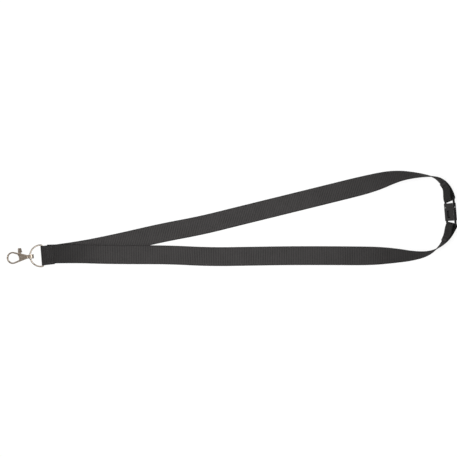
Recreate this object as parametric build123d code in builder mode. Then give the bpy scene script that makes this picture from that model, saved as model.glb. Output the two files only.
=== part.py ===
from build123d import *
import os
from math import cos, radians, sin

# A neck lanyard with a swivel hook and a breakaway buckle, lying on a table.
# Millimetres. The origin is at the bottom centre of the whole lanyard, +X runs from
# the hook to the neck end and +Z points up off the table.

# ---- driving dimensions -------------------------------------------------------------
# webbing
strap_width = 20.0
strap_thickness = 1.0
layer_gap = 0.02            # between layers of webbing that lie on each other
ring_tab_length = 12.0      # end of the upper strap that is folded over the ring
loop_tab_length = 19.8      # strap ends that are folded round the buckle's bars

# D-ring, at the hook end
hardware_angle = 4.5        # ring and hook are turned this far about +Z
bar_x, bar_y, bar_z = -203.0, -39.5, 2.0
ring_tilt = 2.4             # the ring's round side stands a little higher than its bar
ring_wire_radius = 0.8
ring_radius = 11.6          # centre line of the round side
ring_leg = 2.3              # from the bar to the round side's centre
ring_corner_radius = 1.8
fold_inner_radius = 1.0     # webbing round the D-ring's bar

# swivel eye and hook, in the hook's own plane: -X to the hook's tip, +Y to its lever
neck_from_bar = 16.85       # from the D-ring's bar to the hook's neck
neck_z = 2.4
hook_tilt = 3.57            # the tip rests on the table, the eye stands a little higher
shank_end = 0.9             # the shank's end, and the eye's near side, from the neck
eye_start = 1.3
eye_hole_radius = 1.8
eye_wall = 0.75
eye_stretch = 0.6           # the eye is this much longer than a round one
eye_width = 4.4
stem_radius = 0.8
stem_clearance = 0.06
stem_head_radius = 1.05
stem_start, stem_head_end = -1.9, -1.1

claw_center = -16.0
claw_radius = 6.5
claw_wall = 1.55
claw_thickness = 2.0
shank_thickness = 3.2
shank_end_width = 3.3
shank_left = -8.9           # plates of the shank end here, the open claw begins
eyelet_corner = 1.0         # round corners at the opening's right end
opening_right = -8.6
eyelet_side = 1.9
claw_overlap = 0.5
shank_edge_radius = 0.5
eye_edge_radius = 0.35
pin_recess, pin_recess_radius = 0.2, 0.95
pivot_x, pivot_y = -6.8, 0.4
slot_right, slot_bottom = -4.55, -1.85
web_left, web_side, web_radius = -9.6, 3.6, 0.9
lever_foot_x = -7.9         # the gate's web carries the lever here
lever_left, lever_right = -9.6, -5.4
lever_top_left, lever_top_right = -9.4, -6.3
lever_corner = 0.6
lever_slope, lever_slope_depth = 1.5, 1.1
claw_edge_radius = 0.45
gate_reach = 13.6           # from the pivot to where gate and claw tip meet
gate_gap = 0.15
root_radius = 2.0
root_low, root_high = -0.3, 0.7
slot_low, slot_high = -1.0, 0.8
pin_radius = 0.6
pin_hole_radius = 0.66
lever_low, lever_high = 5.2, 10.0
lever_thickness = 2.2
spring_radius = 0.95
spring_wire_radius = 0.1
spring_pitch = 0.22
spring_turns = 1.5
spring_low = -0.86

# breakaway buckle, in its own plane: +X to the male half's bar, +Y up, +Z outwards
buckle_x, buckle_y, buckle_z = 235.95, 7.5, 12.38
buckle_angle = 4.8          # the buckle's length is turned this far about +Z
buckle_lean = 11.0          # it stands on its long edge and leans outwards
buckle_width = 24.0
buckle_thickness = 4.2
buckle_edge_radius = 1.0
bar_offset = 14.7           # from the buckle's middle to each strap bar
bar_radius = 1.2
frame_thickness = 2.0
arm_width = 1.3
seam_x = 5.0                # where the two halves meet
shoulder_end = 9.45
housing_end = -9.4
cavity_width, cavity_height, cavity_depth = 17.0, 2.6, 11.0
tongue_width, tongue_height, tongue_length = 16.4, 2.2, 10.4
finger_slit = 1.1
grip_count = 3
grip_pitch = 1.3
grip_radius = 0.35
loop_inner_radius = 1.95    # webbing round each bar
male_loop_turn = 10.0       # each loop of webbing is turned about its bar, inwards
female_loop_turn = 30.0
fold_skew = 6.5             # a fold lies slanted on its bar, nearer the body at the bottom
fold_shift = 0.5            # and its middle is this far from the bar, towards the body
tab_straight = 4.2          # the tab leaves its fold straight over this length,
tab_closes = 14.5           # and lies on the strap from this far on

seam_gap = 0.25
finger_y = 4.9
slit_depth = 8.0
tongue_corner = 1.2
grip_height = 2.6
window_x, window_y = -2.3, -0.5
window_length, window_width, window_corner = 8.0, 8.6, 2.0

# stitching
box_start, box_end = 5.8, 10.8     # sewn box on the ring tab, from the bar
box_side = 8.5
cross_stitches = 7
side_stitches = 2
thread_radius = 0.25
stitch_length = 2.0
stitch_pitch = 2.5

# Route of each strap's middle, from the ring to its bar: x, y, z and roll in degrees.
# Roll turns the strap about its own length. Each strap follows the quadratic curve
# that has these points as its control points.
upper_route = [
    (-203.0, -39.5, 0.5, 0),
    (-168.5, -35.3, 0.5, 0),
    (-122.0, -26.0, 0.5, 0),
    (-75.0, -15.0, 0.5, 0),
    (-31.0, -6.8, 0.5, 0),
    (8.0, 3.0, 0.5, 0),
    (75.5, 19.6, 0.5, 0),
    (124.0, 31.6, 0.85, 0),
    (153.0, 38.8, 4.4, 18),
    (178.5, 46.4, 8.7, 52),
    (199.5, 47.6, 10.6, 72),
    (219.3, 45.9, 11.2, 88),
    (228.5, 39.4, 11.7, 98),
    (234.7, 30.2, 12.1, 101),
    (237.2, 22.3, 11.9, 101),
]
lower_route = [
    (-198.5, -37.9, 1.53, 0),
    (-170.0, -37.2, 1.53, 0),
    (-135.0, -38.4, 1.53, 0),
    (-100.0, -38.6, 1.53, 0),
    (-65.5, -38.7, 1.6, 0),
    (-22.0, -40.9, 0.5, 0),
    (20.0, -40.3, 0.5, 0),
    (62.0, -39.6, 0.5, 0),
    (108.0, -39.6, 0.5, 0),
    (147.0, -39.9, 1.7, -6),
    (174.5, -39.4, 7.0, -36),
    (197.0, -39.9, 9.4, -60),
    (214.5, -37.1, 11.0, -75),
    (227.0, -28.0, 11.6, -89),
    (234.9, -16.0, 12.2, -104),
    (239.6, -7.7, 11.93, -101),
]
neck_first = 8              # the upper strap's neck part starts half way to this point

os.makedirs("parts", exist_ok=True)


# ---- helpers ------------------------------------------------------------------------
def write(part, name):
    """Labels a finished piece and writes it as one STEP file."""
    part.label = name
    export_step(part, f"parts/{name}.step")


def station(point, tangent, roll):
    """Plane across a strap: local x runs over its width, local z along its length."""
    level = tangent.cross(Vector(0, 0, 1)).normalized()
    up = level.cross(tangent).normalized()
    width = level * cos(radians(roll)) + up * sin(radians(roll))
    return Plane(origin=point, x_dir=width, z_dir=tangent)


def stations(route, first, last):
    """Planes along the quadratic curve, over the corners from first to last."""
    places = [Vector(*p[:3]) for p in route]
    rolls = [p[3] for p in route]
    found = []
    end = len(route) - 2
    for i in range(first, last + 1):
        a = places[0] if i == 1 else (places[i - 1] + places[i]) * 0.5
        b = places[i]
        c = places[-1] if i == end else (places[i] + places[i + 1]) * 0.5
        roll_a = rolls[0] if i == 1 else (rolls[i - 1] + rolls[i]) / 2
        roll_c = rolls[-1] if i == end else (rolls[i] + rolls[i + 1]) / 2
        steps = 2 if roll_a == roll_c else 4
        for k in range(steps + (i == last)):
            t = k / steps
            point = a * (1 - t) ** 2 + b * (2 * t * (1 - t)) + c * t**2
            tangent = ((b - a) * (1 - t) + (c - b) * t).normalized()
            roll = roll_a * (1 - t) ** 2 + rolls[i] * 2 * t * (1 - t) + roll_c * t**2
            found.append(station(point, tangent, roll))
    return found


def strap_section(plane):
    """The webbing's cross-section on a plane."""
    with BuildSketch(plane) as section:
        Rectangle(strap_width, strap_thickness)
    return section.sketch


def strap_along(planes):
    """A length of webbing through sections on these planes."""
    loft([strap_section(plane) for plane in planes], ruled=True)


def half_roll(plane, inner_radius):
    """Webbing turned half round a bar that runs along the plane's local y axis."""
    side = Plane(origin=plane.origin, x_dir=plane.x_dir, z_dir=-plane.y_dir)
    outer_radius = inner_radius + strap_thickness
    with BuildSketch(side) as roll:
        Circle(outer_radius)
        Circle(inner_radius, mode=Mode.SUBTRACT)
        with Locations((outer_radius, 0)):
            Rectangle(2 * outer_radius, 3 * outer_radius, mode=Mode.SUBTRACT)
    extrude(roll.sketch, amount=strap_width / 2, both=True)


def shifted(plane, x=0.0, y=0.0, z=0.0):
    """The same plane with its origin moved in its own directions."""
    return Plane(plane.location * Location((x, y, z)))


def turned_plane(origin, about_y, about_z):
    """A plane first turned about its own y axis, then about the vertical."""
    x_dir = Vector(1, 0, 0).rotate(Axis.Y, about_y).rotate(Axis.Z, about_z)
    z_dir = Vector(0, 0, 1).rotate(Axis.Y, about_y).rotate(Axis.Z, about_z)
    return Plane(origin=origin, x_dir=x_dir, z_dir=z_dir)


# ---- local planes -------------------------------------------------------------------
# Bar: local x points from the ring to the straps, local y runs along the D-ring's bar.
bar_plane = turned_plane((bar_x, bar_y, bar_z), 0, hardware_angle)
ring_plane = turned_plane((bar_x, bar_y, bar_z), ring_tilt, hardware_angle)
neck_point = shifted(bar_plane, x=-neck_from_bar).origin
hook_plane = turned_plane((neck_point.X, neck_point.Y, neck_z), -hook_tilt, hardware_angle)

# Buckle: local x points to the male half's bar, local y up, local z out of the neck loop.
buckle_level = Vector(1, 0, 0).rotate(Axis.Z, buckle_angle)
buckle_length = Vector(0, 1, 0).rotate(Axis.Z, buckle_angle)
buckle_out = buckle_level * cos(radians(buckle_lean)) - Vector(0, 0, 1) * sin(radians(buckle_lean))
buckle_plane = Plane(
    origin=(buckle_x, buckle_y, buckle_z), x_dir=buckle_length, z_dir=buckle_out
)


def loop_plane(side, turn):
    """At a bar: local x leads away from the buckle, turned inwards, and local z is outwards."""
    lengthways = buckle_plane.x_dir * side
    x_dir = lengthways * cos(radians(turn)) - buckle_plane.z_dir * sin(radians(turn))
    z_dir = buckle_plane.z_dir * cos(radians(turn)) + lengthways * sin(radians(turn))
    bar = buckle_plane.origin + buckle_plane.x_dir * (side * bar_offset)
    return Plane(origin=bar, x_dir=x_dir, z_dir=z_dir)


def fold_plane(side, turn):
    """The loop's plane moved to where the webbing folds back, and slanted as the fold is."""
    slant = Location((-fold_shift, 0, 0), (0, 0, -side * fold_skew))
    return Plane(loop_plane(side, turn).location * slant)


male_fold = fold_plane(1, male_loop_turn)
female_fold = fold_plane(-1, female_loop_turn)


def loop_sections(fold, planes):
    """The strap's last section at its fold, and the sections of the tab that is folded back."""
    layer = loop_inner_radius + strap_thickness / 2
    same_way = planes[-1].x_dir.dot(fold.y_dir) > 0
    width = fold.y_dir * (1 if same_way else -1)
    outer = Plane(origin=shifted(fold, z=layer).origin, x_dir=width, z_dir=-fold.x_dir)
    inner = Plane(origin=shifted(fold, z=-layer).origin, x_dir=width, z_dir=-fold.x_dir)
    tab = [inner, shifted(inner, z=-tab_straight)]
    run = 0.0
    last = outer.origin
    for plane in reversed(planes[:-1]):
        run += (plane.origin - last).length
        last = plane.origin
        if tab_closes < run < loop_tab_length:
            tab.append(shifted(plane, y=strap_thickness + layer_gap))
    return outer, tab


def stitch_row(plane, count, pitch):
    """A row of sewn stitches along the plane's local x, half sunk in the surface."""
    with Locations(plane):
        with GridLocations(pitch, 1, count, 1):
            Cylinder(thread_radius, stitch_length, rotation=(0, 90, 0))


# ---- upper strap --------------------------------------------------------------------
# Its end is folded up over the D-ring's bar and sewn down on the lower strap. From
# there it runs flat on the table, and its neck part rises on edge to the male half.
ring_layer = fold_inner_radius + strap_thickness / 2
tab_z = 2.5 * strap_thickness + 2.5 * layer_gap - bar_z
tab_places = [(0, ring_layer), (1.0, ring_layer), (5.0, tab_z), (ring_tab_length, tab_z)]
upper_planes = stations(upper_route, 1, neck_first - 1)
tab_planes = []
for along, height in tab_places:
    place = shifted(bar_plane, x=along, z=height).origin
    tab_planes.append(Plane(origin=place, x_dir=bar_plane.y_dir, z_dir=bar_plane.x_dir))
fold_end = shifted(bar_plane, z=-ring_layer).origin
upper_start = Plane(origin=fold_end, x_dir=-bar_plane.y_dir, z_dir=bar_plane.x_dir)
with BuildPart() as upper_strap:
    strap_along(tab_planes)
    half_roll(bar_plane, fold_inner_radius)
    strap_along([upper_start, *upper_planes[1:]])
write(upper_strap.part, "upper_strap")

neck_planes = stations(upper_route, neck_first, len(upper_route) - 2)
male_end, male_tab = loop_sections(male_fold, neck_planes)
with BuildPart() as upper_strap_neck:
    strap_along([*neck_planes[:-1], male_end])
    half_roll(male_fold, loop_inner_radius)
    strap_along(male_tab)
write(upper_strap_neck.part, "upper_strap_neck")

# ---- lower strap --------------------------------------------------------------------
# Its plain end is sewn in between the upper strap and that strap's tab.
lower_planes = stations(lower_route, 1, len(lower_route) - 2)
female_end, female_tab = loop_sections(female_fold, lower_planes)
with BuildPart() as lower_strap:
    strap_along([*lower_planes[:-1], female_end])
    half_roll(female_fold, loop_inner_radius)
    strap_along(female_tab)
write(lower_strap.part, "lower_strap")

# ---- stitching ----------------------------------------------------------------------
# A sewn box on the tab at the D-ring, and two rows across each folded end at the buckle.
tab_top = tab_z + strap_thickness / 2
with BuildPart() as ring_stitching:
    for along in (box_start, box_end):
        across = Plane(
            origin=shifted(bar_plane, x=along, z=tab_top).origin,
            x_dir=bar_plane.y_dir,
            z_dir=bar_plane.z_dir,
        )
        stitch_row(across, cross_stitches, stitch_pitch)
    for side in (-1, 1):
        middle = shifted(bar_plane, x=(box_start + box_end) / 2, y=side * box_side, z=tab_top)
        stitch_row(middle, side_stitches, stitch_pitch)
write(ring_stitching.part, "ring_stitching")


def end_stitching(tab):
    """Two rows across a folded end, on the tab's face, from the tab's last sections."""
    for plane in tab[-2:]:
        face = Plane(
            origin=shifted(plane, y=strap_thickness / 2).origin,
            x_dir=plane.x_dir,
            z_dir=plane.y_dir,
        )
        stitch_row(face, cross_stitches, stitch_pitch)


with BuildPart() as male_end_stitching:
    end_stitching(male_tab)
write(male_end_stitching.part, "male_end_stitching")

with BuildPart() as female_end_stitching:
    end_stitching(female_tab)
write(female_end_stitching.part, "female_end_stitching")

# ---- D-ring -------------------------------------------------------------------------
straight = ring_radius - ring_corner_radius
with BuildPart() as d_ring:
    with BuildLine(ring_plane) as ring_line:
        Line((0, 0), (0, straight))
        JernArc((0, straight), (0, 1), ring_corner_radius, 90)
        Line((-ring_corner_radius, ring_radius), (-ring_leg, ring_radius))
        JernArc((-ring_leg, ring_radius), (-1, 0), ring_radius, 180)
        Line((-ring_leg, -ring_radius), (-ring_corner_radius, -ring_radius))
        JernArc((-ring_corner_radius, -ring_radius), (1, 0), ring_corner_radius, 90)
        Line((0, -straight), (0, 0))
    with BuildSketch(Plane(origin=ring_plane.origin, z_dir=ring_plane.y_dir)):
        Circle(ring_wire_radius)
    sweep(path=ring_line.wires()[0])
write(d_ring.part, "d_ring")

# ---- swivel eye ---------------------------------------------------------------------
# A stretched ring round the D-ring's wire. Its stem runs into the hook's shank, where a
# head keeps it in.
eye_outer_radius = eye_hole_radius + eye_wall
eye_center = eye_start + eye_outer_radius
eye_side = Plane(origin=hook_plane.origin, x_dir=hook_plane.x_dir, z_dir=-hook_plane.y_dir)
stem_plane = Plane(origin=hook_plane.origin, x_dir=hook_plane.y_dir, z_dir=hook_plane.x_dir)


def stem(clearance, mode):
    """The eye's stem and its head, or, with clearance, the bore in the shank for them."""
    for radius, start, end in (
        (stem_radius, stem_start, eye_start + eye_wall / 2),
        (stem_head_radius, stem_start, stem_head_end),
    ):
        with BuildSketch(stem_plane.offset(start - clearance)) as round_section:
            Circle(radius + clearance)
        extrude(round_section.sketch, amount=end - start + 2 * clearance, mode=mode)


with BuildPart() as swivel_eye:
    with BuildSketch(eye_side):
        with Locations((eye_center + eye_stretch / 2, 0)):
            SlotCenterToCenter(eye_stretch, 2 * eye_outer_radius)
            SlotCenterToCenter(eye_stretch, 2 * eye_hole_radius, mode=Mode.SUBTRACT)
    extrude(amount=eye_width / 2, both=True)
    fillet(swivel_eye.faces().filter_by(eye_side).edges(), eye_edge_radius)
    stem(0, Mode.ADD)
write(swivel_eye.part, "swivel_eye")

# ---- hook ---------------------------------------------------------------------------
# Outline, opening and gate zone are drawn once and shared by the body and the gate.
with BuildSketch() as hook_outline:
    with Locations((claw_center, 0)):
        Circle(claw_radius)
    with Locations((shank_end, 0)):
        Rectangle(1.0, shank_end_width, align=(Align.MAX, Align.CENTER))
    make_hull()

with BuildSketch() as claw_opening:
    with Locations((claw_center, 0)):
        Circle(claw_radius - claw_wall)
    with Locations((opening_right - eyelet_corner, eyelet_side),
                   (opening_right - eyelet_corner, -eyelet_side)):
        Circle(eyelet_corner)
    make_hull()

with BuildSketch() as gate_zone:
    with Locations((pivot_x, pivot_y)):
        Circle(gate_reach)
    with Locations((pivot_x, slot_bottom - gate_reach)):
        Rectangle(3 * gate_reach, 2 * gate_reach, mode=Mode.SUBTRACT)

with BuildPart() as rounded_loop:
    with BuildSketch(hook_plane.offset(-claw_thickness / 2)):
        add(hook_outline.sketch)
        add(claw_opening.sketch, mode=Mode.SUBTRACT)
    extrude(amount=claw_thickness)
    fillet(rounded_loop.faces().filter_by(hook_plane).edges(), claw_edge_radius)

with BuildPart() as claw:
    add(rounded_loop.part)
    with BuildSketch(hook_plane.offset(-claw_thickness)):
        add(gate_zone.sketch)
        with Locations((shank_left + claw_overlap, 0)):
            Rectangle(4 * claw_radius, 4 * claw_radius, align=(Align.MIN, Align.CENTER))
    extrude(amount=2 * claw_thickness, mode=Mode.SUBTRACT)

slot_width = slot_right - 2 * shank_left
with BuildPart() as hook_body:
    with BuildSketch(hook_plane.offset(-shank_thickness / 2)):
        add(hook_outline.sketch)
        with Locations((shank_left - claw_radius * 2, 0)):
            Rectangle(claw_radius * 4, claw_radius * 4, mode=Mode.SUBTRACT)
    extrude(amount=shank_thickness)
    fillet(hook_body.faces().filter_by(hook_plane).edges(), shank_edge_radius)
    with BuildSketch(hook_plane.offset(slot_low)):
        with Locations((slot_right, slot_bottom)):
            Rectangle(slot_width, 2 * claw_radius, align=(Align.MAX, Align.MIN))
    extrude(amount=slot_high - slot_low, mode=Mode.SUBTRACT)
    add(claw.part)
    with BuildSketch(hook_plane.offset(-shank_thickness)):
        with Locations((pivot_x, pivot_y)):
            Circle(pin_radius)
    extrude(amount=2 * shank_thickness, mode=Mode.SUBTRACT)
    with BuildSketch(hook_plane.offset(shank_thickness / 2 - pin_recess)):
        with Locations((pivot_x, pivot_y)):
            Circle(pin_recess_radius)
    extrude(amount=shank_thickness, mode=Mode.SUBTRACT)
    stem(stem_clearance, Mode.SUBTRACT)
write(hook_body.part, "hook_body")

# ---- hook gate with its thumb lever -------------------------------------------------
# The lever's right side slopes away.
with BuildPart() as lever:
    with BuildSketch(hook_plane.offset(-lever_thickness / 2)):
        with BuildLine():
            Polyline((lever_left, lever_low), (lever_right, lever_low),
                     (lever_top_right, lever_high), (lever_top_left, lever_high), close=True)
        make_face()
    extrude(amount=lever_thickness)
    top_edges = lever.faces().sort_by(Axis(hook_plane.origin, hook_plane.z_dir))[-1].edges()
    chamfer(top_edges.sort_by(Axis(hook_plane.origin, hook_plane.x_dir))[-1],
            lever_slope_depth, lever_slope)
    fillet(lever.edges().filter_by(Axis((0, 0, 0), hook_plane.z_dir)).sort_by(
        Axis(hook_plane.origin, hook_plane.y_dir))[-2:], lever_corner)

with BuildPart() as hook_gate:
    add(rounded_loop.part)
    with BuildSketch(hook_plane.offset(-claw_thickness)):
        with Locations((pivot_x, pivot_y)):
            Circle(gate_reach - gate_gap)
        with Locations((shank_left - gate_gap, 0)):
            Rectangle(4 * claw_radius, 2 * claw_radius, align=(Align.MAX, Align.MIN),
                      mode=Mode.INTERSECT)
    extrude(amount=2 * claw_thickness, mode=Mode.INTERSECT)
    add(lever.part)
    with BuildSketch(hook_plane.offset(root_low)):
        with Locations((pivot_x, pivot_y)):
            Circle(root_radius)
        with Locations((web_left, web_side), (lever_foot_x, lever_low)):
            Circle(web_radius)
        make_hull()
    extrude(amount=root_high - root_low)
    with BuildSketch(hook_plane.offset(-shank_thickness)):
        with Locations((pivot_x, pivot_y)):
            Circle(pin_hole_radius)
    extrude(amount=2 * shank_thickness, mode=Mode.SUBTRACT)
write(hook_gate.part, "hook_gate")

# ---- gate pin and spring ------------------------------------------------------------
with BuildPart() as gate_pin:
    with BuildSketch(hook_plane.offset(-shank_thickness / 2)):
        with Locations((pivot_x, pivot_y)):
            Circle(pin_radius)
    extrude(amount=shank_thickness - pin_recess)
write(gate_pin.part, "gate_pin")

coil_plane = shifted(hook_plane, x=pivot_x, y=pivot_y, z=spring_low)
coil_start = Plane(
    origin=shifted(coil_plane, x=spring_radius).origin,
    x_dir=coil_plane.x_dir,
    z_dir=coil_plane.y_dir,
)
with BuildPart() as gate_spring:
    with BuildLine(coil_plane) as coil:
        Helix(pitch=spring_pitch, height=spring_pitch * spring_turns, radius=spring_radius)
    with BuildSketch(coil_start):
        Circle(spring_wire_radius)
    sweep(path=coil.wires()[0], is_frenet=True)
write(gate_spring.part, "gate_spring")


# ---- breakaway buckle ---------------------------------------------------------------
def across_buckle(x):
    """Plane across the buckle at x, its own x axis up the buckle's width."""
    origin = shifted(buckle_plane, x=x).origin
    return Plane(origin=origin, x_dir=buckle_plane.y_dir, z_dir=buckle_plane.x_dir)


def block(start, end, width, height, radius, mode=Mode.ADD):
    """A rounded bar of material, or a pocket, along the buckle's length."""
    with BuildSketch(across_buckle(start)) as section:
        RectangleRounded(width, height, radius)
    extrude(section.sketch, amount=end - start, mode=mode)


def strap_bar(side, inner_end):
    """Two arms and the round bar that the webbing is folded over."""
    with BuildSketch(buckle_plane.offset(-frame_thickness / 2)) as arms:
        for edge in (-1, 1):
            middle = (side * (bar_offset + inner_end) / 2, edge * (buckle_width - arm_width) / 2)
            with Locations(middle):
                Rectangle(bar_offset - inner_end, arm_width)
    extrude(arms.sketch, amount=frame_thickness)
    bar_middle = shifted(buckle_plane, x=side * bar_offset).origin
    with BuildSketch(Plane(origin=bar_middle, z_dir=buckle_plane.y_dir)) as bar:
        Circle(bar_radius)
    extrude(bar.sketch, amount=buckle_width / 2, both=True)


def grips(start):
    """Small ribs across both long edges, for the fingers."""
    for n in range(grip_count):
        for edge in (-1, 1):
            rib = shifted(buckle_plane, x=start + n * grip_pitch, y=edge * grip_y)
            with BuildSketch(rib.offset(-grip_height / 2)) as end:
                Circle(grip_radius)
            extrude(end.sketch, amount=grip_height)


grip_y = buckle_width / 2 - 0.05
with BuildPart() as buckle_male:
    block(seam_x, shoulder_end, buckle_width, buckle_thickness, buckle_edge_radius)
    strap_bar(1, shoulder_end - 0.5)
    grips(seam_x + 0.9)
    with BuildSketch(buckle_plane.offset(-tongue_height / 2)):
        with Locations((seam_x - tongue_length / 2, 0)):
            RectangleRounded(tongue_length, tongue_width, tongue_corner)
        with Locations((seam_x, 0)):
            Rectangle(2 * tongue_corner, tongue_width)
        for edge in (-1, 1):
            with Locations((seam_x - tongue_length, edge * finger_y)):
                SlotOverall(2 * slit_depth, finger_slit, mode=Mode.SUBTRACT)
    extrude(amount=tongue_height)
write(buckle_male.part, "buckle_male")

with BuildPart() as buckle_female:
    block(housing_end, seam_x - seam_gap, buckle_width, buckle_thickness, buckle_edge_radius)
    strap_bar(-1, -housing_end - 0.5)
    grips(seam_x - 0.9 - 2 * grip_pitch)
    block(seam_x - cavity_depth, seam_x, cavity_width, cavity_height, 0.4, Mode.SUBTRACT)
    with BuildSketch(buckle_plane.offset(-buckle_thickness)):
        with Locations((window_x, window_y)):
            RectangleRounded(window_length, window_width, window_corner)
    extrude(amount=buckle_thickness, mode=Mode.SUBTRACT)
write(buckle_female.part, "buckle_female")


# ---- bends of the two straps' routes ------------------------------------------------
def bend_radii(planes):
    """Radius in mm of the circle through each three neighbouring points that do bend."""
    radii = []
    for before, here, after in zip(planes, planes[1:], planes[2:]):
        a = here.origin - before.origin
        b = after.origin - here.origin
        turn = a.get_angle(b)
        if turn > 1:
            radii.append(round((a.length + b.length) / 2 / radians(turn)))
    return radii


print("bend radii of the upper strap, mm", bend_radii(upper_planes + neck_planes[1:]))
print("bend radii of the lower strap, mm", bend_radii(lower_planes))
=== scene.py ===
import math

import bpy
import numpy as np
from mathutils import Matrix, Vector


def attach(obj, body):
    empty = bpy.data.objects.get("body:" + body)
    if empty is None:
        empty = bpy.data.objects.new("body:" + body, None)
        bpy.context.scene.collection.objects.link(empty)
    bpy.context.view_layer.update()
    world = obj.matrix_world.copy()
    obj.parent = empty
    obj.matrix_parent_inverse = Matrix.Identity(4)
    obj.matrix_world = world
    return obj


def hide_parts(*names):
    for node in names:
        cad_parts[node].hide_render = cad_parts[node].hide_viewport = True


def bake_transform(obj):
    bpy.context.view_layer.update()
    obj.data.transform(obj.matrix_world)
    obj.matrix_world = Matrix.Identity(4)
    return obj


# A black neck lanyard on a white table. Metres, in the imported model's own frame.
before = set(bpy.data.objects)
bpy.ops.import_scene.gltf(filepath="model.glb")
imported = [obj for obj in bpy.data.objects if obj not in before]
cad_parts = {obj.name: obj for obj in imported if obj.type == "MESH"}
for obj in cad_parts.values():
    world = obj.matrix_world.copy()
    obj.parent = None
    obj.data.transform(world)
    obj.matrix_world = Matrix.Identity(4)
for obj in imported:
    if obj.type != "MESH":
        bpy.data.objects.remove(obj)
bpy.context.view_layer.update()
scene = bpy.context.scene
scene.view_settings.view_transform = "Standard"

# ---- camera -------------------------------------------------------------------------
CAMERA_PLACE = (-0.00211, -0.01019, 1.170)      # straight above the middle, looking down
camera_data = bpy.data.cameras.new("camera")
camera_data.lens = 85
camera_data.sensor_width = 36
camera = bpy.data.objects.new("camera", camera_data)
camera.location = CAMERA_PLACE
scene.collection.objects.link(camera)
scene.camera = camera

# ---- the two straps' routes ---------------------------------------------------------
# The same control points as in the CAD part: place in metres, and roll in degrees.
UPPER_ROUTE = [
    (-0.2030, -0.0395, 0.0005, 0),
    (-0.1685, -0.0353, 0.0005, 0),
    (-0.1220, -0.0260, 0.0005, 0),
    (-0.0750, -0.0150, 0.0005, 0),
    (-0.0310, -0.0068, 0.0005, 0),
    (0.0080, 0.0030, 0.0005, 0),
    (0.0755, 0.0196, 0.0005, 0),
    (0.1240, 0.0316, 0.00085, 0),
    (0.1530, 0.0388, 0.0044, 18),
    (0.1785, 0.0464, 0.0087, 52),
    (0.1995, 0.0476, 0.0106, 72),
    (0.2193, 0.0459, 0.0112, 88),
    (0.2285, 0.0394, 0.0117, 98),
    (0.2347, 0.0302, 0.0121, 101),
    (0.2372, 0.0223, 0.0119, 101),
]
LOWER_ROUTE = [
    (-0.1985, -0.0379, 0.00153, 0),
    (-0.1700, -0.0372, 0.00153, 0),
    (-0.1350, -0.0384, 0.00153, 0),
    (-0.1000, -0.0386, 0.00153, 0),
    (-0.0655, -0.0387, 0.0016, 0),
    (-0.0220, -0.0409, 0.0005, 0),
    (0.0200, -0.0403, 0.0005, 0),
    (0.0620, -0.0396, 0.0005, 0),
    (0.1080, -0.0396, 0.0005, 0),
    (0.1470, -0.0399, 0.0017, -6),
    (0.1745, -0.0394, 0.0070, -36),
    (0.1970, -0.0399, 0.0094, -60),
    (0.2145, -0.0371, 0.0110, -75),
    (0.2270, -0.0280, 0.0116, -89),
    (0.2349, -0.0160, 0.0122, -104),
    (0.2396, -0.0077, 0.01193, -101),
]

STRAP_WIDTH = 0.020
YARNS = 34                  # lengthwise yarns across the webbing
STRAP_THICKNESS = 0.001
LAYER_GAP = 0.00002         # between two layers of webbing
RIB_PITCH = 0.001885        # from one cross rib to the next
RIB_DEPTH = 0.00010
SELVAGE = 0.00030           # the outermost yarn stands this far out of the nominal width
SCALLOP = 1.3               # the selvage waves this many times as deep as a rib
STEP = RIB_PITCH / 8        # between cross-sections of the webbing's mesh
CURVE_STEPS = 24            # points of a smooth curve for each of its control points
FOLD_STEPS = 24             # steps of the half turn round a bar


def nurbs_line(name, points):
    """Points along the smooth curve that has these points as its control points."""
    curve = bpy.data.curves.new(name, "CURVE")
    curve.dimensions = "3D"
    curve.resolution_u = CURVE_STEPS
    spline = curve.splines.new("NURBS")
    spline.points.add(len(points) - 1)
    for target, point in zip(spline.points, points):
        target.co = (*point, 1)
    spline.order_u = 3
    spline.use_endpoint_u = True
    holder = bpy.data.objects.new(name, curve)
    scene.collection.objects.link(holder)
    bpy.context.view_layer.update()
    mesh = bpy.data.meshes.new_from_object(holder)
    line = [v.co.copy() for v in mesh.vertices]
    bpy.data.objects.remove(holder)
    bpy.data.curves.remove(curve)
    bpy.data.meshes.remove(mesh)
    return line


def route_frames(name, route):
    """Place and width direction of the strap, all along its route."""
    line = nurbs_line(name, [p[:3] for p in route])
    rolls = nurbs_line(name + "_roll", [(p[3] / 1000, i, 0) for i, p in enumerate(route)])
    frames = []
    last = len(line) - 1
    for i, place in enumerate(line):
        ahead = (line[min(i + 1, last)] - line[max(i - 1, 0)]).normalized()
        level = ahead.cross(Vector((0, 0, 1))).normalized()
        up = level.cross(ahead).normalized()
        roll = math.radians(rolls[i].x * 1000)
        frames.append((place, level * math.cos(roll) + up * math.sin(roll)))
    return line, frames


upper_line, upper_frames = route_frames("upper_route", UPPER_ROUTE)
lower_line, lower_frames = route_frames("lower_route", LOWER_ROUTE)

# ---- ends of the straps -------------------------------------------------------------
# The D-ring's bar, and the buckle's two bars, as in the CAD part.
RING_ANGLE = math.radians(4.5)
RING_X = Vector((math.cos(RING_ANGLE), math.sin(RING_ANGLE), 0))
RING_Y = Vector((-math.sin(RING_ANGLE), math.cos(RING_ANGLE), 0))
RING_BAR = Vector((-0.2030, -0.0395, 0.0020))
RING_LAYER = 0.0015         # from the bar's middle to the webbing's middle
RING_TAB = [                # the folded tab: distance from the bar, and height over it
    (0.0120, 0.00055), (0.0100, 0.00055), (0.0075, 0.00055), (0.0055, 0.00058),
    (0.0035, 0.00085), (0.0020, 0.00135), (0.0008, RING_LAYER), (0.0, RING_LAYER),
]

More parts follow.
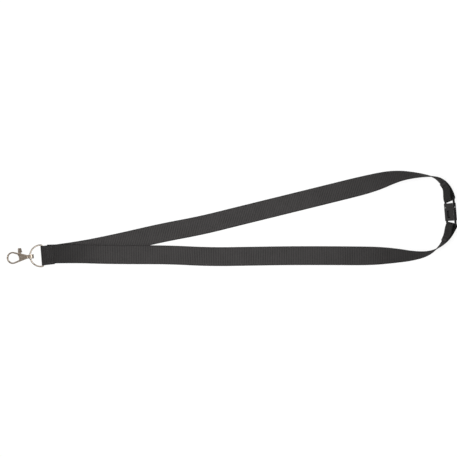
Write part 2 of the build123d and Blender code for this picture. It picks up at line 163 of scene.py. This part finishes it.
BUCKLE_PLACE = Vector((0.23595, 0.0075, 0.01238))
BUCKLE_ANGLE = math.radians(4.8)
BUCKLE_LEAN = math.radians(11.0)
BUCKLE_ALONG = Vector((-math.sin(BUCKLE_ANGLE), math.cos(BUCKLE_ANGLE), 0))
BUCKLE_LEVEL = Vector((math.cos(BUCKLE_ANGLE), math.sin(BUCKLE_ANGLE), 0))
BUCKLE_OUT = BUCKLE_LEVEL * math.cos(BUCKLE_LEAN) - Vector((0, 0, 1)) * math.sin(BUCKLE_LEAN)
BUCKLE_UP = BUCKLE_OUT.cross(BUCKLE_ALONG)
BAR_OFFSET = 0.0147         # from the buckle's middle to either bar
LOOP_LAYER = 0.00245        # from a fold's middle to the webbing's middle
LOOP_TAB = 0.0198           # length of a tab at the buckle
LOOP_START = 0.0006         # the tab starts this far past the end of its fold
LOOP_CLOSES = 0.0145        # the tab lies on the strap from this far on
FOLD_SKEW = math.radians(6.5)
FOLD_SHIFT = 0.0005         # the fold's middle is this far from the bar, towards the body
SKEW_RUN = 0.016            # the strap turns into its slanted fold over this length
TRIMMED = 6                 # frames left out where the route meets a fold
RING_FOLD_RUN = 0.0145      # the webbing goes round the D-ring's bar here, from the tab's end
RING_SPREAD = 0.035         # and is wider there by this share
SPREAD_RUN = 0.0125         # which fades out over this length


def smooth_step(share):
    share = min(max(share, 0), 1)
    return share * share * (3 - 2 * share)


def ring_end():
    """The folded end at the D-ring: along the tab to the bar, round it and to the route."""
    places = [RING_BAR + RING_X * a + Vector((0, 0, h)) for a, h in RING_TAB]
    frames = [(p, RING_Y) for p in nurbs_line("ring_tab", places)]
    for i in range(1, FOLD_STEPS + 1):
        turn = math.pi * i / FOLD_STEPS
        place = (
            RING_BAR - RING_X * (math.sin(turn) * RING_LAYER)
            + Vector((0, 0, math.cos(turn) * RING_LAYER))
        )
        frames.append((place, RING_Y))
    return frames


def loop_fold(side, turn_degrees):
    """Place of a fold at the buckle, and its width, outward and backward directions."""
    turn = math.radians(turn_degrees)
    away = BUCKLE_ALONG * (side * math.cos(turn)) - BUCKLE_OUT * math.sin(turn)
    outwards = BUCKLE_OUT * math.cos(turn) + BUCKLE_ALONG * (side * math.sin(turn))
    width = BUCKLE_UP * math.cos(FOLD_SKEW) + away * math.sin(FOLD_SKEW)
    back = away * math.cos(FOLD_SKEW) - BUCKLE_UP * math.sin(FOLD_SKEW)
    place = BUCKLE_PLACE + BUCKLE_ALONG * (side * BAR_OFFSET) - away * FOLD_SHIFT
    return place, width, outwards, back


def slanted(strap_frames, width):
    """The strap's frames, turned towards its slanted fold over the last stretch."""
    left = 0.0
    before = strap_frames[-1][0]
    turned = []
    for place, strap_width in reversed(strap_frames):
        left += (place - before).length
        before = place
        turned.append((place, strap_width.lerp(width, smooth_step(1 - left / SKEW_RUN)).normalized()))
    return turned[::-1]


def looped(strap_frames, side, turn_degrees):
    """The strap with its end folded round a bar of the buckle and back along its inside."""
    fold, width, outwards, back = loop_fold(side, turn_degrees)
    if strap_frames[-1][1].dot(width) < 0:
        width = -width
    strap = slanted(strap_frames, width)
    frames = strap[:-TRIMMED]
    for i in range(FOLD_STEPS + 1):
        angle = math.pi * i / FOLD_STEPS
        place = fold + outwards * (math.cos(angle) * LOOP_LAYER) - back * (math.sin(angle) * LOOP_LAYER)
        frames.append((place, width))
    run = 0.0
    before = fold + outwards * LOOP_LAYER
    for i in range(len(strap) - 2, 0, -1):
        place, strap_width = strap[i]
        run += (place - before).length
        before = place
        if run > LOOP_TAB:
            break
        if run < LOOP_START:
            continue
        ahead = (strap[i + 1][0] - strap[i - 1][0]).normalized()
        inside = ahead.cross(strap_width).normalized()
        closed = smooth_step(run / LOOP_CLOSES)
        offset = 2 * LOOP_LAYER * (1 - closed) + (STRAP_THICKNESS + LAYER_GAP) * closed
        frames.append((place + inside * offset, strap_width))
    return frames


def joined(*stretches):
    """One list of frames, with the width's sense kept the same from each to the next."""
    result = []
    for frames in stretches:
        flip = bool(result) and result[-1][1].dot(frames[0][1]) < 0
        result += [(place, -width if flip else width) for place, width in frames]
    return result


def resampled(frames, step):
    """The same strap with frames evenly spaced along it, as arrays."""
    places = np.array([f[0] for f in frames])
    widths = np.array([f[1] for f in frames])
    runs = np.concatenate([[0], np.cumsum(np.linalg.norm(np.diff(places, axis=0), axis=1))])
    count = int(round(runs[-1] / step))
    at = np.linspace(0, runs[-1], count + 1)
    places = np.column_stack([np.interp(at, runs, places[:, k]) for k in range(3)])
    widths = np.column_stack([np.interp(at, runs, widths[:, k]) for k in range(3)])
    smooth = places.copy()
    for _ in range(2):
        smooth[1:-1] = (smooth[:-2] + 2 * smooth[1:-1] + smooth[2:]) / 4
    ahead = np.gradient(smooth, axis=0)
    ahead /= np.linalg.norm(ahead, axis=1)[:, None]
    widths /= np.linalg.norm(widths, axis=1)[:, None]
    normals = np.cross(widths, ahead)
    normals /= np.linalg.norm(normals, axis=1)[:, None]
    return at, smooth, widths, normals


# Cross-section of the webbing: share of the half width, share of the half thickness,
# and how much the cross ribs show there.
FLAT_PLACES = np.linspace(-0.93, 0.93, 11)
EDGE_FROM = 0.95            # the selvage starts at this share of the half width
EDGE = [(0.965, 0.86, 0.5), (0.99, 0.55, 0.2), (1.0, 0.0, 0.0), (0.99, -0.55, 0.2), (0.965, -0.86, 0.5)]
SECTION = (
    [(v, 1.0, 1.0) for v in FLAT_PLACES]
    + EDGE
    + [(v, -1.0, 1.0) for v in FLAT_PLACES[::-1]]
    + [(-v, -h, r) for v, h, r in EDGE]
)


def webbing(name, frames, spread=0.0):
    """A closed ribbon of webbing with cross ribs and a scalloped selvage.

    It may spread where it is pulled round the D-ring's bar."""
    at, places, widths, normals = frames
    count, around = len(at), len(SECTION)
    spreads = 1 + spread * np.clip(1 - np.abs(at - RING_FOLD_RUN) / SPREAD_RUN, 0, 1)
    groove = RIB_DEPTH * (1 - np.abs(np.cos(np.pi * at / RIB_PITCH)))
    points = np.empty((count, around, 3))
    for k, (v, h, ribbed) in enumerate(SECTION):
        across = np.full(count, v * STRAP_WIDTH / 2)
        if abs(v) > EDGE_FROM:
            across = np.sign(v) * (abs(across) + SELVAGE - SCALLOP * groove)
        height = h * (STRAP_THICKNESS / 2) - np.sign(h) * ribbed * groove
        points[:, k] = places + widths * (across * spreads)[:, None] + normals * height[:, None]
    faces = []
    for i in range(count - 1):
        a, b = i * around, (i + 1) * around
        for k in range(around):
            n = (k + 1) % around
            faces.append((a + k, a + n, b + n, b + k))
    faces.append(tuple(reversed(range(around))))
    faces.append(tuple(range((count - 1) * around, count * around)))
    mesh = bpy.data.meshes.new(name)
    mesh.from_pydata(points.reshape(-1, 3).tolist(), [], faces)
    mesh.validate()
    layer = mesh.uv_layers.new(name="strap")
    section_v = np.array([v for v, _, _ in SECTION])
    loops = np.empty(len(mesh.loops), dtype=int)
    mesh.loops.foreach_get("vertex_index", loops)
    uv = np.empty((len(loops), 2))
    uv[:, 0] = at[loops // around] / STRAP_WIDTH
    uv[:, 1] = 0.5 + 0.5 * section_v[loops % around]
    layer.data.foreach_set("uv", uv.ravel())
    for attribute, run in (("from_start", at), ("from_end", at[-1] - at)):
        distance = mesh.attributes.new(attribute, "FLOAT", "POINT")
        distance.data.foreach_set("value", np.repeat(run * 1000, around))
    mesh.shade_smooth()
    piece = bpy.data.objects.new(name, mesh)
    scene.collection.objects.link(piece)
    return piece


MALE_TURN = 10.0            # degrees by which the strap leaves the buckle's line, at each half
FEMALE_TURN = 30.0
upper_all = resampled(joined(ring_end(), looped(upper_frames, 1, MALE_TURN)[1:]), STEP)
lower_all = resampled(looped(lower_frames, -1, FEMALE_TURN), STEP)
upper_strap = webbing("upper_webbing", upper_all, RING_SPREAD)
lower_strap = webbing("lower_webbing", lower_all)
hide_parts("upper_strap", "upper_strap_neck")
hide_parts("lower_strap")


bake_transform(upper_strap)
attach(lower_strap, "straps")

# ---- stitches -----------------------------------------------------------------------
STITCH_LENGTH = 0.0020
STITCH_PITCH = 0.0025
THREAD_RADIUS = 0.00022
THREAD_RISE = 0.00016       # middle of a stitch, above its two ends
THREAD_SINK = 0.0001        # its two ends, below the webbing's face
THREAD_TIP = 0.00002        # radius at its two ends
THREAD_RINGS = 9
THREAD_SIDES = 8
CROSS_STITCHES = 7
BOX_SIDE = 0.0085           # from the strap's middle to the sewn box's sides
RING_ROWS = (0.0012, 0.0062)    # places of the sewn rows, from the end of the tab
LOOP_ROWS = (0.0022, 0.0058)


def surface_point(frames, facing, run, across):
    """Point, along, across and outward directions on the webbing's face that way round."""
    at, places, widths, normals = frames
    i = int(np.searchsorted(at, run))
    side = 1 if normals[i] @ np.array(facing) > 0 else -1
    outward = normals[i] * side
    along = places[i + 1] - places[i - 1]
    along /= np.linalg.norm(along)
    place = places[i] + widths[i] * across + outward * (STRAP_THICKNESS / 2)
    return place, along, widths[i], outward


def stitching(name, frames, facing, spots):
    """Short arched threads on the webbing. A spot is run, across and whether it lies across."""
    points, faces = [], []
    for run, across, lies_across in spots:
        place, along, width, outward = surface_point(frames, facing, run, across)
        line = width if lies_across else along
        beside = np.cross(outward, line)
        first = len(points)
        for k in range(THREAD_RINGS):
            t = 2 * k / (THREAD_RINGS - 1) - 1
            rise = THREAD_RISE * (1 - t * t) - THREAD_SINK
            middle = place + line * (t * STITCH_LENGTH / 2) + outward * rise
            radius = THREAD_RADIUS * (1 - t**6) ** 0.5 + THREAD_TIP
            for n in range(THREAD_SIDES):
                turn = 2 * math.pi * n / THREAD_SIDES
                points.append(middle + (beside * math.cos(turn) + outward * math.sin(turn)) * radius)
        for k in range(THREAD_RINGS - 1):
            ring = first + k * THREAD_SIDES
            for n in range(THREAD_SIDES):
                a, b = ring + n, ring + (n + 1) % THREAD_SIDES
                faces.append((a, b, b + THREAD_SIDES, a + THREAD_SIDES))
        last = first + (THREAD_RINGS - 1) * THREAD_SIDES
        faces.append(tuple(reversed(range(first, first + THREAD_SIDES))))
        faces.append(tuple(range(last, last + THREAD_SIDES)))
    mesh = bpy.data.meshes.new(name)
    mesh.from_pydata([tuple(p) for p in points], [], faces)
    mesh.validate()
    mesh.shade_smooth()
    piece = bpy.data.objects.new(name, mesh)
    scene.collection.objects.link(piece)
    return piece


def cross_row(run):
    middle = (CROSS_STITCHES - 1) / 2
    return [(run, (n - middle) * STITCH_PITCH, True) for n in range(CROSS_STITCHES)]


ring_middle = sum(RING_ROWS) / 2
ring_spots = cross_row(RING_ROWS[0]) + cross_row(RING_ROWS[1])
ring_spots += [
    (ring_middle + half * STITCH_PITCH, edge * BOX_SIDE, False) for half in (-0.5, 0.5) for edge in (-1, 1)
]
ring_seam = stitching("ring_seam", upper_all, (0, 0, 1), ring_spots)
upper_end, lower_end = upper_all[0][-1], lower_all[0][-1]
inwards = tuple(-BUCKLE_OUT)
male_seam = stitching(
    "male_seam", upper_all, inwards, [s for row in LOOP_ROWS for s in cross_row(upper_end - row)]
)
female_seam = stitching(
    "female_seam", lower_all, inwards, [s for row in LOOP_ROWS for s in cross_row(lower_end - row)]
)
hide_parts("ring_stitching")
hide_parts("male_end_stitching")
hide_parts("female_end_stitching")
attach(ring_seam, "straps")
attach(male_seam, "male_half")
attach(female_seam, "straps")

# ---- materials ----------------------------------------------------------------------


def new_material(name, colour, roughness, metallic=0.0):
    """A Principled material and what is needed to add to it."""
    material = bpy.data.materials.new(name)
    material.use_nodes = True
    nodes, links = material.node_tree.nodes, material.node_tree.links
    shader = nodes["Principled BSDF"]
    shader.inputs["Base Color"].default_value = (*colour, 1)
    shader.inputs["Roughness"].default_value = roughness
    shader.inputs["Metallic"].default_value = metallic
    return material, nodes, links, shader


def assign(piece, material):
    piece.data.materials.clear()
    piece.data.materials.append(material)


def math_node(nodes, operation, *values):
    node = nodes.new("ShaderNodeMath")
    node.operation = operation
    for socket, value in zip(node.inputs, values):
        if value is not None:
            socket.default_value = value
    return node


def attribute_node(nodes, name):
    node = nodes.new("ShaderNodeAttribute")
    node.attribute_name = name
    return node.outputs["Fac"]


def selvage_distance(nodes, links, split):
    """0 in the middle of the webbing, 1 at either selvage."""
    centred = math_node(nodes, "MULTIPLY_ADD", None, 2.0, -1.0)
    links.new(split.outputs["Y"], centred.inputs[0])
    distance = math_node(nodes, "ABSOLUTE")
    links.new(centred.outputs[0], distance.inputs[0])
    return distance.outputs[0]


def graded(nodes, links, source, between, values):
    """A value that goes smoothly from the first to the second between two places."""
    grade = nodes.new("ShaderNodeMapRange")
    grade.interpolation_type = "SMOOTHSTEP"
    for socket, value in zip(("From Min", "From Max", "To Min", "To Max"), (*between, *values)):
        grade.inputs[socket].default_value = value
    links.new(source, grade.inputs["Value"])
    return grade.outputs["Result"]


# Painted shade on the webbing: darker at its sewn ends and along the neck, where the light falls off,
# darker at the selvage and between the yarns, and a painted highlight, a lighter band, at the heat-cut
# edge of a tab.
# The runs are in millimetres from an end, and the selvage's is a share.
RING_END_PAINTED_SHADE = 0.54
BUCKLE_END_PAINTED_SHADE = 0.62
NECK_PAINTED_SHADE = 0.70
# painted highlight: the webbing is lighter over the last millimetres at a tab's cut end
CUT_END_PAINTED_HIGHLIGHT = 2.2
# painted shade: the webbing is darker at its selvage
SELVAGE_PAINTED_SHADE = 0.6
YARN_GAP_PAINTED_SHADE = 0.6            # painted shade between two yarns
RING_END_RUN = (12, 70)
BUCKLE_END_RUN = (25, 60)
NECK_RUN = (60, 240)
CUT_END_RUN = (1.4, 2.2)
SELVAGE_RUN = (0.90, 0.97)
YARN_RUN = (0.0, 0.5)
RIB_TONE = 1.65             # how much the ribs, with their painted groove shade, and the threads' noise show in the colour
THREAD_TONE = 1.4
TONE_SCALE, TONE_SHIFT = 0.62, -0.45
# the ribs' colour: the rib pattern, with grooves painted dark as shade and crests painted lighter
GROOVE_TONE_AND_SHADE, CREST_TONE_AND_LIGHT = 0.02, 1.65


def webbing_material(name, colour):
    """Black polyester: cross ribs with grooves painted dark as shade, lengthwise yarns, uneven dye, and
    painted shade and a painted highlight on top.
    """
    material, nodes, links, shader = new_material(name, colour, 0.75)
    shader.inputs["Specular IOR Level"].default_value = 0.2
    uv = nodes.new("ShaderNodeUVMap")
    uv.uv_map = "strap"
    split = nodes.new("ShaderNodeSeparateXYZ")
    links.new(uv.outputs["UV"], split.inputs["Vector"])
    phase = math_node(nodes, "MULTIPLY", None, math.pi * STRAP_WIDTH / RIB_PITCH)
    links.new(split.outputs["X"], phase.inputs[0])
    wave = math_node(nodes, "COSINE")
    links.new(phase.outputs[0], wave.inputs[0])
    rib = math_node(nodes, "ABSOLUTE")
    links.new(wave.outputs[0], rib.inputs[0])
    yarn_phase = math_node(nodes, "MULTIPLY", None, math.pi * YARNS)
    links.new(split.outputs["Y"], yarn_phase.inputs[0])
    yarn_wave = math_node(nodes, "SINE")
    links.new(yarn_phase.outputs[0], yarn_wave.inputs[0])
    yarn = math_node(nodes, "ABSOLUTE")
    links.new(yarn_wave.outputs[0], yarn.inputs[0])
    stretch = nodes.new("ShaderNodeMapping")
    stretch.inputs["Scale"].default_value = (16, 12, 1)
    links.new(uv.outputs["UV"], stretch.inputs["Vector"])
    threads = nodes.new("ShaderNodeTexNoise")
    threads.inputs["Scale"].default_value = 1.0
    threads.inputs["Detail"].default_value = 3.0
    links.new(stretch.outputs["Vector"], threads.inputs["Vector"])
    cloud = nodes.new("ShaderNodeTexNoise")
    cloud.inputs["Scale"].default_value = 1.2
    cloud.inputs["Detail"].default_value = 2.0
    links.new(uv.outputs["UV"], cloud.inputs["Vector"])
    uneven = math_node(nodes, "MULTIPLY_ADD", None, THREAD_TONE, None)
    links.new(threads.outputs["Fac"], uneven.inputs[0])
    links.new(cloud.outputs["Fac"], uneven.inputs[2])
    ribbed = math_node(nodes, "MULTIPLY_ADD", None, RIB_TONE, None)
    links.new(rib.outputs[0], ribbed.inputs[0])
    links.new(uneven.outputs[0], ribbed.inputs[2])
    share = math_node(nodes, "MULTIPLY_ADD", None, TONE_SCALE, TONE_SHIFT)
    links.new(ribbed.outputs[0], share.inputs[0])
    ramp = nodes.new("ShaderNodeValToRGB")
    ramp.color_ramp.elements[0].position = 0.0
    ramp.color_ramp.elements[1].position = 1.0
    ramp.color_ramp.elements[0].color = (*(c * GROOVE_TONE_AND_SHADE for c in colour), 1)
    ramp.color_ramp.elements[1].color = (*(c * CREST_TONE_AND_LIGHT for c in colour), 1)
    links.new(share.outputs[0], ramp.inputs["Fac"])
    # painted shade towards the ring, the buckle and along the neck, at the selvage and between yarns, and
    # a painted highlight at a cut end, all multiplied into the colour
    shades = [
        graded(nodes, links, attribute_node(nodes, "from_start"), RING_END_RUN, (RING_END_PAINTED_SHADE, 1)),
        graded(nodes, links, attribute_node(nodes, "from_end"), BUCKLE_END_RUN, (BUCKLE_END_PAINTED_SHADE, 1)),
        graded(nodes, links, attribute_node(nodes, "from_end"), NECK_RUN, (NECK_PAINTED_SHADE, 1)),
        graded(nodes, links, attribute_node(nodes, "from_end"), CUT_END_RUN, (CUT_END_PAINTED_HIGHLIGHT, 1)),
        graded(nodes, links, selvage_distance(nodes, links, split), SELVAGE_RUN, (1, SELVAGE_PAINTED_SHADE)),
        graded(nodes, links, yarn.outputs[0], YARN_RUN, (YARN_GAP_PAINTED_SHADE, 1)),
    ]
    shade = shades[0]
    for factor in shades[1:]:
        product = math_node(nodes, "MULTIPLY")
        links.new(shade, product.inputs[0])
        links.new(factor, product.inputs[1])
        shade = product.outputs[0]
    shaded = nodes.new("ShaderNodeVectorMath")
    shaded.operation = "SCALE"
    links.new(ramp.outputs["Color"], shaded.inputs[0])
    links.new(shade, shaded.inputs["Scale"])
    links.new(shaded.outputs["Vector"], shader.inputs["Base Color"])
    weave = math_node(nodes, "MULTIPLY_ADD", None, 0.4, None)
    links.new(yarn.outputs[0], weave.inputs[0])
    links.new(threads.outputs["Fac"], weave.inputs[2])
    bump = nodes.new("ShaderNodeBump")
    bump.inputs["Strength"].default_value = 0.8
    bump.inputs["Distance"].default_value = 0.00015
    links.new(weave.outputs[0], bump.inputs["Height"])
    links.new(bump.outputs["Normal"], shader.inputs["Normal"])
    rough = nodes.new("ShaderNodeMapRange")
    rough.inputs["To Min"].default_value = 0.62
    rough.inputs["To Max"].default_value = 0.88
    links.new(threads.outputs["Fac"], rough.inputs["Value"])
    links.new(rough.outputs["Result"], shader.inputs["Roughness"])
    return material


def thread_material(name, colour):
    """Sewing thread: a fine slanting twist."""
    material, nodes, links, shader = new_material(name, colour, 0.55)
    place = nodes.new("ShaderNodeTexCoord")
    twist = nodes.new("ShaderNodeTexWave")
    twist.bands_direction = "DIAGONAL"
    twist.inputs["Scale"].default_value = 700
    twist.inputs["Distortion"].default_value = 1.5
    links.new(place.outputs["Object"], twist.inputs["Vector"])
    ramp = nodes.new("ShaderNodeValToRGB")
    ramp.color_ramp.elements[0].color = (*(c * 0.7 for c in colour), 1)
    ramp.color_ramp.elements[1].color = (*(c * 1.3 for c in colour), 1)
    links.new(twist.outputs["Fac"], ramp.inputs["Fac"])
    links.new(ramp.outputs["Color"], shader.inputs["Base Color"])
    bump = nodes.new("ShaderNodeBump")
    bump.inputs["Strength"].default_value = 0.4
    bump.inputs["Distance"].default_value = 0.00006
    links.new(twist.outputs["Fac"], bump.inputs["Height"])
    links.new(bump.outputs["Normal"], shader.inputs["Normal"])
    return material


strap_material = webbing_material("webbing", (0.0250, 0.0236, 0.0236))
thread = thread_material("thread", (0.022, 0.021, 0.021))
for piece in (upper_strap, lower_strap):
    assign(piece, strap_material)
for piece in (ring_seam, male_seam, female_seam):
    assign(piece, thread)


def metal_material(name, colour, roughness):
    """Plated metal with a fine cast grain."""
    material, nodes, links, shader = new_material(name, colour, roughness, metallic=1.0)
    place = nodes.new("ShaderNodeTexCoord")
    grain = nodes.new("ShaderNodeTexNoise")
    grain.inputs["Scale"].default_value = 900
    grain.inputs["Detail"].default_value = 4
    links.new(place.outputs["Object"], grain.inputs["Vector"])
    rough = nodes.new("ShaderNodeMapRange")
    rough.inputs["To Min"].default_value = roughness * 0.8
    rough.inputs["To Max"].default_value = roughness * 1.25
    links.new(grain.outputs["Fac"], rough.inputs["Value"])
    links.new(rough.outputs["Result"], shader.inputs["Roughness"])
    bump = nodes.new("ShaderNodeBump")
    bump.inputs["Strength"].default_value = 0.15
    bump.inputs["Distance"].default_value = 0.0001
    links.new(grain.outputs["Fac"], bump.inputs["Height"])
    links.new(bump.outputs["Normal"], shader.inputs["Normal"])
    return material


def plastic_material(name, colour):
    """Moulded plastic with a fine grain."""
    material, nodes, links, shader = new_material(name, colour, 0.48)
    shader.inputs["Specular IOR Level"].default_value = 0.35
    place = nodes.new("ShaderNodeTexCoord")
    grain = nodes.new("ShaderNodeTexNoise")
    grain.inputs["Scale"].default_value = 1800
    grain.inputs["Detail"].default_value = 2
    links.new(place.outputs["Object"], grain.inputs["Vector"])
    bump = nodes.new("ShaderNodeBump")
    bump.inputs["Strength"].default_value = 0.25
    bump.inputs["Distance"].default_value = 0.0001
    links.new(grain.outputs["Fac"], bump.inputs["Height"])
    links.new(bump.outputs["Normal"], shader.inputs["Normal"])
    return material


nickel = metal_material("ring_nickel", (0.40, 0.345, 0.29), 0.42)
cast_nickel = metal_material("hook_nickel", (0.43, 0.36, 0.295), 0.30)
eye_nickel = metal_material("eye_nickel", (0.40, 0.345, 0.29), 0.45)
steel = metal_material("pin_steel", (0.42, 0.41, 0.39), 0.35)
plastic = plastic_material("buckle_plastic", (0.005, 0.0047, 0.005))
NODE_MATERIALS = {
    "d_ring": nickel,
    "swivel_eye": eye_nickel,
    "hook_body": cast_nickel,
    "hook_gate": cast_nickel,
    "gate_pin": steel,
    "gate_spring": steel,
    "buckle_male": plastic,
    "buckle_female": plastic,
}
for node, material in NODE_MATERIALS.items():
    assign(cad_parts[node], material)

# ---- table, light and world ---------------------------------------------------------
TABLE_HALF = 30.0
TABLE_DROP = 0.0002         # keeps the table clear of the webbing that lies on it
TABLE_GLOW = 0.86
TABLE_GREY = 0.15
floor_mesh = bpy.data.meshes.new("table_top")
floor_mesh.from_pydata(
    [(x * TABLE_HALF, y * TABLE_HALF, 0) for x, y in ((-1, -1), (1, -1), (1, 1), (-1, 1))],
    [], [(0, 1, 2, 3)],
)
floor = bpy.data.objects.new("table_top", floor_mesh)
floor.location.z = -TABLE_DROP
scene.collection.objects.link(floor)
floor_material, _, _, floor_shader = new_material("table_white", (TABLE_GREY,) * 3, 0.9)
floor_shader.inputs["Specular IOR Level"].default_value = 0.0
floor_shader.inputs["Emission Color"].default_value = (1, 1, 1, 1)
floor_shader.inputs["Emission Strength"].default_value = TABLE_GLOW
floor.visible_glossy = False      # or the black plastic would look washed out
floor.data.materials.append(floor_material)

SKY_HEIGHTS = (-0.1, 0.9)   # the sky is brightest low down and dimmer overhead
SKY_GLOW = (0.45, 0.12)
world = bpy.data.worlds.new("studio")
scene.world = world
world.use_nodes = True
sky = world.node_tree.nodes["Background"]
sky.inputs["Color"].default_value = (1.0, 0.97, 0.94, 1)
world_nodes, world_links = world.node_tree.nodes, world.node_tree.links
direction = world_nodes.new("ShaderNodeTexCoord")
height = world_nodes.new("ShaderNodeSeparateXYZ")
world_links.new(direction.outputs["Generated"], height.inputs["Vector"])
glow = graded(world_nodes, world_links, height.outputs["Z"], SKY_HEIGHTS, SKY_GLOW)
world_links.new(glow, sky.inputs["Strength"])


def softbox(name, place, size, power):
    """A square light that faces the middle of the table."""
    data = bpy.data.lights.new(name, "AREA")
    data.shape = "SQUARE"
    data.size = size
    data.energy = power
    light = bpy.data.objects.new(name, data)
    light.location = place
    light.rotation_euler = (-Vector(place)).to_track_quat("-Z", "Y").to_euler()
    scene.collection.objects.link(light)


softbox("light_over", (0.0, 0.02, 0.80), 0.30, 6.0)
softbox("light_left", (-1.2, 0.2, 0.75), 1.2, 4)
softbox("light_back", (-0.2, 1.2, 0.9), 1.2, 4.5)
softbox("light_front", (0.2, -1.2, 0.9), 1.2, 4.5)
